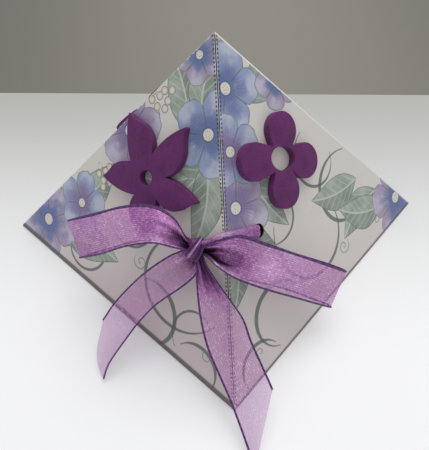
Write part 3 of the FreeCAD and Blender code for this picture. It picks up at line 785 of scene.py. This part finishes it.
# card, with a painted garden print
inks = {
    # two of these tones are painted shade: one for the walls' lower parts, one for the fold at their foot
    "paper": srgb(219, 215, 208), "footwardShade": srgb(206, 192, 195), "washed": srgb(206, 208, 200),
    "raw": srgb(240, 240, 238), "punched": srgb(48, 46, 52), "footShade": srgb(88, 84, 78),
    "ink": srgb(84, 98, 95), "inkSoft": srgb(126, 136, 130), "blueInk": srgb(84, 100, 142),
    "blue": srgb(150, 162, 194), "blueDeep": srgb(106, 122, 168), "petalPale": srgb(205, 207, 219),
    "lilac": srgb(170, 156, 182), "lilacDeep": srgb(142, 124, 164),
    "cream": srgb(226, 220, 208), "creamShade": srgb(176, 168, 150), "heartDots": srgb(150, 132, 92),
    "sage": srgb(144, 158, 145), "sagePale": srgb(176, 187, 174), "sageDark": srgb(82, 98, 90),
    "rib": srgb(200, 208, 197),
}


def makePlaced():
    # takes a point of the sheet to a motif's own place; the second sheet has its own place for it
    group, w, takes, gives = newGroup("placed", {"Sheet": "Vector", "First": "Vector", "Second": "Vector"},
                                      {"Place": "Vector", "Reach": 0, "Angle": 0})
    side = w.part(takes["Sheet"], "z")
    centre = w.node("ShaderNodeMix", data_type="VECTOR")
    w.put(centre.inputs[0], side)
    w.put(centre.inputs[4], takes["First"])
    w.put(centre.inputs[5], takes["Second"])
    turn = w.part(centre.outputs[1], "z")
    away = w.vector("MULTIPLY", w.vector("SUBTRACT", takes["Sheet"], centre.outputs[1]), (1, 1, 0))
    spun = w.node("ShaderNodeVectorRotate", rotation_type="Z_AXIS")
    w.put(spun.inputs["Vector"], away)
    w.put(spun.inputs["Angle"], w.times(turn, -1.0))
    w.put(gives["Place"], spun.outputs[0])
    w.put(gives["Reach"], w.vector("LENGTH", away))
    w.put(gives["Angle"], w.math("ARCTAN2", w.part(spun.outputs[0], "y"), w.part(spun.outputs[0], "x")))
    return group


placed = makePlaced()
motifTakes = {"Under": "Color", "Sheet": "Vector", "First": "Vector", "Second": "Vector", "Size": 10.0, "Wash": 0.5}
softEdge = (0.0, 0.14)  # mm over which a motif's edge sets in


def newMotif(name, **own):
    # the group of a motif that is painted over the tone Under, with its own place on the sheet
    group, w, takes, gives = newGroup(name, {**motifTakes, **own}, {"Colour": "Color"})
    where = w.use(placed, **{label: takes[label] for label in ("Sheet", "First", "Second")})
    return group, w, takes, gives, where


def makeBlossom():
    # round-petalled blossom: washed petals, fine ink lines, a cream heart with dots
    group, w, takes, gives, where = newMotif("blossom", Petals=5.0, Petal="Color", Throat="Color")
    reach, size, wash = where["Reach"], takes["Size"], takes["Wash"]
    uneven = w.minus(wash, 0.5)
    halfTurn = w.times(where["Angle"], w.times(takes["Petals"], 0.5))
    spread = w.absolute(w.math("COSINE", halfTurn))  # 1 in the middle of a petal, 0 between two
    lobe = w.timesPlus(w.math("POWER", spread, 0.45), 0.36, w.timesPlus(uneven, 0.3, 0.62))
    outline = w.times(lobe, size)
    inside = w.minus(outline, reach)
    share = w.math("DIVIDE", reach, outline)
    tone = w.blend(w.fade(w.timesPlus(uneven, 1.1, share), 0.25, 0.8), takes["Throat"], takes["Petal"])
    washedOut = w.fade(w.timesPlus(uneven, 2.2, share), 0.45, 0.95)
    pale = w.times(w.fade(spread, 0.45, 0.95), washedOut)
    tone = w.blend(w.times(pale, 0.6), tone, inks["petalPale"])
    strokes = w.timesPlus(where["Angle"], w.times(takes["Petals"], 7.0), w.times(wash, 9.0))
    streak = w.times(w.fade(w.math("SINE", strokes), 0.1, 0.9), w.fade(share, 0.22, 0.66, 0.6, 0.0))
    tone = w.blend(streak, tone, inks["blueInk"])
    apart = w.times(w.times(reach, spread), w.math("DIVIDE", 2.0, takes["Petals"]))
    lines = w.math("MAXIMUM", w.fade(inside, 0.22, 0.55, 1.0, 0.0),
                   w.times(w.fade(apart, 0.1, 0.4, 1.0, 0.0), w.fade(share, 0.2, 0.42)))
    tone = w.blend(w.times(lines, 0.6), tone, inks["ink"])
    heart = w.math("DIVIDE", reach, w.times(size, 0.82))
    tone = w.blend(w.fade(heart, 0.19, 0.23, 0.8, 0.0), tone, inks["blueInk"])
    tone = w.blend(w.fade(heart, 0.15, 0.18, 1.0, 0.0), tone, inks["cream"])
    dots = w.node("ShaderNodeTexVoronoi", voronoi_dimensions="2D", feature="F1")
    w.put(dots.inputs["Vector"], where["Place"])
    w.put(dots.inputs["Scale"], 1.3)
    stipple = w.times(w.fade(dots.outputs["Distance"], 0.16, 0.3, 0.7, 0.0), w.fade(heart, 0.12, 0.16, 1.0, 0.0))
    tone = w.blend(stipple, tone, inks["heartDots"])
    w.put(gives["Colour"], w.blend(w.fade(inside, *softEdge), takes["Under"], tone))
    return group


def makeLeaf():
    # pointed leaf that grows along its own X, bent to one side, with pale ribs and an ink outline
    group, w, takes, gives, where = newMotif("leaf", Slim=0.2, Bend=0.1, Leaf="Color")
    x, y = w.part(where["Place"], "x"), w.part(where["Place"], "y")
    size, wash = takes["Size"], takes["Wash"]
    along = w.math("MINIMUM", w.math("MAXIMUM", w.math("DIVIDE", x, size), -0.2), 1.2)
    swell = w.times(along, w.minus(1.0, along))
    bent = w.times(w.times(swell, 4.0), w.times(takes["Bend"], size))
    side = w.minus(y, bent)
    wide = w.times(w.times(swell, w.timesPlus(along, -2.4, 5.2)), w.times(takes["Slim"], size))
    off = w.absolute(side)
    inside = w.minus(wide, off)
    tone = w.blend(w.fade(wash, 0.3, 0.68), takes["Leaf"], inks["sagePale"])
    tone = w.blend(w.fade(side, -0.1, 0.25, 0.0, 0.3), tone, inks["sageDark"])
    pitch = w.math("DIVIDE", size, 7.5)
    rib = w.math("FRACT", w.math("DIVIDE", w.timesPlus(off, -1.1, x), pitch))
    rib = w.times(w.absolute(w.minus(rib, 0.5)), pitch)
    ribs = w.math("MAXIMUM", w.fade(rib, 0.1, 0.38, 0.5, 0.0), w.fade(off, 0.14, 0.42, 0.85, 0.0))
    tone = w.blend(ribs, tone, inks["rib"])
    tone = w.blend(w.fade(inside, 0.2, 0.52, 0.62, 0.0), tone, inks["ink"])
    w.put(gives["Colour"], w.blend(w.fade(inside, *softEdge), takes["Under"], tone))
    return group


def makeTendril():
    # a line that sweeps round a centre and draws in as it goes, thinner to its end
    group, w, takes, gives, where = newMotif("tendril", Sweep=3.0, DrawIn=0.3, Weight=0.5)
    wholeTurn = 2 * math.pi
    turned = w.times(w.math("FRACT", w.math("DIVIDE", where["Angle"], wholeTurn)), wholeTurn)
    gone = w.math("DIVIDE", turned, takes["Sweep"])
    radius = w.times(takes["Size"], w.minus(1.0, w.times(takes["DrawIn"], gone)))
    off = w.absolute(w.minus(where["Reach"], radius))
    taper = w.times(w.fade(gone, 0.0, 0.3, 0.25, 1.0), w.fade(gone, 0.5, 1.0, 1.0, 0.2))
    past = w.minus(off, w.times(takes["Weight"], taper))  # how far outside the line
    line = w.times(w.fade(past, -0.14, 0.14, 0.85, 0.0), w.fade(gone, 0.99, 1.0, 1.0, 0.0))
    tone = w.blend(w.fade(past, -0.5, -0.2, 0.55, 0.0), inks["ink"], inks["sageDark"])
    w.put(gives["Colour"], w.blend(line, takes["Under"], tone))
    return group


def makeCurl():
    # a small spiral in fine ink
    group, w, takes, gives, where = newMotif("curl", Pitch=1.9)
    phase = w.minus(w.math("DIVIDE", where["Reach"], takes["Pitch"]), w.math("DIVIDE", where["Angle"], 2 * math.pi))
    off = w.times(w.absolute(w.minus(w.math("FRACT", phase), 0.5)), takes["Pitch"])
    line = w.times(w.fade(off, 0.1, 0.34, 0.7, 0.0), w.fade(w.minus(takes["Size"], where["Reach"]), 0.0, 0.3))
    w.put(gives["Colour"], w.blend(line, takes["Under"], inks["inkSoft"]))
    return group


def makeBuds():
    # a cluster of round cream buds
    group, w, takes, gives, where = newMotif("buds", Spacing=2.7)
    cells = w.node("ShaderNodeTexVoronoi", voronoi_dimensions="2D", feature="F1")
    w.put(cells.inputs["Vector"], where["Place"])
    w.put(cells.inputs["Scale"], w.math("DIVIDE", 1.0, takes["Spacing"]))
    cells.inputs["Randomness"].default_value = 0.55
    reach = w.vector("LENGTH", cells.outputs["Position"])
    inside = w.times(w.minus(0.5, cells.outputs["Distance"]), takes["Spacing"])
    whole = w.fade(w.minus(takes["Size"], reach), 0.0, 0.01)
    tone = w.blend(w.fade(inside, 0.3, 1.2, 0.45, 0.0), inks["cream"], inks["creamShade"])
    tone = w.blend(w.fade(inside, 0.14, 0.4, 0.8, 0.0), tone, inks["ink"])
    w.put(gives["Colour"], w.blend(w.times(w.fade(inside, 0.0, 0.12), whole), takes["Under"], tone))
    return group


garden = {
    # each: place on the first sheet (across, up, turn), on the second, size, then its own values
    "tendril": [((-20, 24, 200), (2, 24, 140), 17, {"Sweep": 4.4, "DrawIn": 0.3, "Weight": 0.6}),
                ((6, 30, 20), (22, 26, 60), 14, {"Sweep": 4.8, "DrawIn": 0.45, "Weight": 0.7}),
                ((-14, 6, 60), (-24, 10, 20), 12, {"Sweep": 3.8, "DrawIn": 0.3, "Weight": 0.75}),
                ((20, 12, 130), (16, 42, 100), 11, {"Sweep": 4.4, "DrawIn": 0.4, "Weight": 0.5}),
                ((-32, 12, 300), (-8, 38, 220), 10, {"Sweep": 3.4, "DrawIn": 0.5, "Weight": 0.4}),
                ((-36, 1, 30), (-38, 2, 20), 9, {"Sweep": 3.0, "DrawIn": 0.2, "Weight": 0.6})],
    "curl": [((-4, 20, 0), (12, 10, 0), 3.0, {}), ((28, 8, 90), (-12, 22, 60), 2.4, {}),
             ((-38, 8, 200), (32, 7, 200), 2.6, {}), ((12, 42, 30), (-36, 7, 10), 2.2, {})],
    "leaf": [((-8, 56, -70), (-24, 47, -119), 27, {"Slim": 0.2, "Bend": 0.1}),
             ((-14, 62, -62), (-10, 58, -80), 27, {"Slim": 0.2, "Bend": -0.08}),
             ((-12, 60, -105), (-22, 48, -68), 27, {"Slim": 0.2, "Bend": -0.1}),
             ((-4, 64, 48), (0, 70, 12), 24, {"Slim": 0.25, "Bend": 0.06}),
             ((-6, 68, 78), (-6, 74, 62), 22, {"Slim": 0.24, "Bend": -0.05}),
             ((30, 22, 118), (30, 26, 165), 24, {"Slim": 0.24, "Bend": 0.08}),
             ((28, 8, 165), (38, 16, 190), 25, {"Slim": 0.24, "Bend": -0.1}),
             ((14, 44, 160), (38, 10, 150), 25, {"Slim": 0.24, "Bend": 0.1})],
    "buds": [((9, 68, 0), (-12, 66, 0), 4.6, {}), ((20, 38, 0), (-7, 62, 30), 4.4, {})],
    "blossom": [((-10, 66, 15), (-5, 77, 50), 12.5, {"Petal": "blue", "Throat": "blueDeep"}),
                ((17, 55, 0), (-20, 48, 20), 13, {"Petal": "lilac", "Throat": "lilacDeep"}),
                ((40, 10, 30), (46, 7, 10), 15, {"Petal": "lilac", "Throat": "blueDeep"}),
                ((27, 24, 10), (-13, 62, 70), 11, {"Petal": "blue", "Throat": "lilacDeep"}),
                ((2, 84, 40), (13, 70, 20), 8.5, {"Petal": "lilac", "Throat": "blueDeep"})],
}
motifs = {"tendril": makeTendril(), "curl": makeCurl(), "leaf": makeLeaf(), "buds": makeBuds(),
          "blossom": makeBlossom()}

# the printed card's own lines, in mm: punched dots in from the seam; and painted shade, a dark band along the fold at
# the foot and a darker foot that is lighter on the right wall
card = {"dotPitch": 1.15, "dotsIn": 0.62, "fold": (1.2, 2.1), "thinnerRight": 0.9, "rightFootwardShade": 0.45,
        "sheetApart": 40, "grain": 0.5, "patch": 8.0, "rough": (0.42, 0.58), "tooth": 0.00003}


def makeSheetPlace():
    # the walls laid flat: across and up from a wall's middle in mm, and which of the two sheets
    group, w, takes, gives = newGroup("sheetPlace", {"Place": "Vector"},
                                      {"Sheet": "Vector", "FromSeam": 0, "FromSide": 0, "Along": 0, "Up": 0})
    place = w.vector("MULTIPLY", takes["Place"], toMm)
    x, y, z = (w.part(place, axis) for axis in "xyz")
    across = w.times(w.minus(w.absolute(x), w.absolute(y)), math.sqrt(0.5))
    up = w.times(w.minus(z, cardFoot / mm), slopeLength / (apex.z - cardFoot))
    w.put(gives["Sheet"], w.join(across, up, w.math("LESS_THAN", w.times(x, y), 0.0)))
    half = baseSide / 2 / mm
    tall = math.sqrt(0.75)  # a wall is an equal-sided triangle
    for edge, way in (("FromSeam", tall), ("FromSide", -tall)):
        w.put(gives[edge], w.minus(w.timesPlus(across, way, half * tall), w.times(up, 0.5)))
    w.put(gives["Along"], w.timesPlus(up, tall, w.timesPlus(across, 0.5, half / 2)))
    w.put(gives["Up"], up)
    return group


def makePrintedCard():
    material, w, shader = newMaterial("printedCard", Roughness=0.5)
    coordinates = w.node("ShaderNodeTexCoord").outputs["Object"]
    laid = w.use(makeSheetPlace(), Place=coordinates)
    sheet = laid["Sheet"]
    washPlace = w.vector("MULTIPLY", sheet, (1, 1, card["sheetApart"]))
    wash = w.noise(washPlace, 0.16, 4.0, 0.55)
    broad = w.noise(washPlace, 0.045, 2.0, 0.5)
    right = w.math("GREATER_THAN", w.part(coordinates, "x"), 0.0)
    # painted shade: the paper goes darker and pinker towards its foot, less so on the right wall
    low = w.timesPlus(laid["FromSeam"], 0.4, laid["Up"])
    low = w.fade(w.timesPlus(broad, 40.0, low), 30.0, 75.0, 1.0, 0.0)
    low = w.times(low, w.timesPlus(right, card["rightFootwardShade"] - 1, 1.0))
    tone = w.blend(low, inks["paper"], inks["footwardShade"])
    tone = w.blend(w.fade(wash, 0.5, 0.75, 0.0, 0.3), tone, inks["washed"])
    for kind, entries in garden.items():
        for first, second, size, own in entries:
            values = {name: inks[value] if isinstance(value, str) else value for name, value in own.items()}
            if kind == "leaf":
                values["Leaf"] = inks["sage"]
            tone = w.use(motifs[kind], Under=tone, Sheet=sheet, Wash=wash, Size=size,
                         First=(first[0], first[1], math.radians(first[2])),
                         Second=(second[0], second[1], math.radians(second[2])), **values)["Colour"]
    # punched dots along the front seam, raw card where the folds crack the print
    front = w.math("LESS_THAN", w.part(coordinates, "y"), 0.0)
    seam, side, along = laid["FromSeam"], laid["FromSide"], laid["Along"]
    inMm = w.vector("MULTIPLY", coordinates, toMm)
    rub = w.noise(inMm, 0.9, 2.0)
    beat = w.absolute(w.minus(w.math("FRACT", w.math("DIVIDE", along, card["dotPitch"])), 0.5))
    aside = w.absolute(w.minus(seam, card["dotsIn"]))
    punched = w.times(w.fade(aside, 0.18, 0.34, 1.0, 0.0), w.fade(beat, 0.2, 0.3, 1.0, 0.0))
    tone = w.blend(w.fade(w.timesPlus(rub, 0.5, seam), 0.45, 0.7, 0.6, 0.0), tone, inks["raw"])
    tone = w.blend(w.times(w.times(punched, front), 0.85), tone, inks["punched"])
    worn = w.timesPlus(rub, w.timesPlus(right, -0.7, 1.1), side)
    worn = w.times(w.fade(worn, 0.45, 0.75, 1.0, 0.0), w.fade(laid["Up"], 15.0, 65.0, 0.4, 0.95))
    tone = w.blend(worn, tone, inks["raw"])
    # painted shade along the fold at the walls' foot, thinner on the right wall
    footShadeBand = w.fade(w.timesPlus(right, card["thinnerRight"], laid["Up"]), *card["fold"], 0.9, 0.0)
    tone = w.blend(footShadeBand, tone, inks["footShade"])
    # the print is on the outer faces only
    facing = w.part(w.node("ShaderNodeNewGeometry").outputs["Normal"], "z")
    outer = w.times(w.math("GREATER_THAN", facing, 0.2), w.math("LESS_THAN", facing, 0.9))
    tone = w.blend(outer, inks["raw"], tone)
    w.put(shader["Base Color"], tone)
    paper = w.use(grain, Place=inMm, Pitch=card["grain"], Patch=card["patch"])
    w.put(shader["Roughness"], w.fade(paper["Mottle"], 0.3, 0.7, *card["rough"]))
    w.put(shader["Normal"], w.bump(paper["Height"], 0.25, card["tooth"]))
    return material


nodes["card_box"].data.materials.clear()
nodes["card_box"].data.materials.append(makePrintedCard())
print("card is printed")
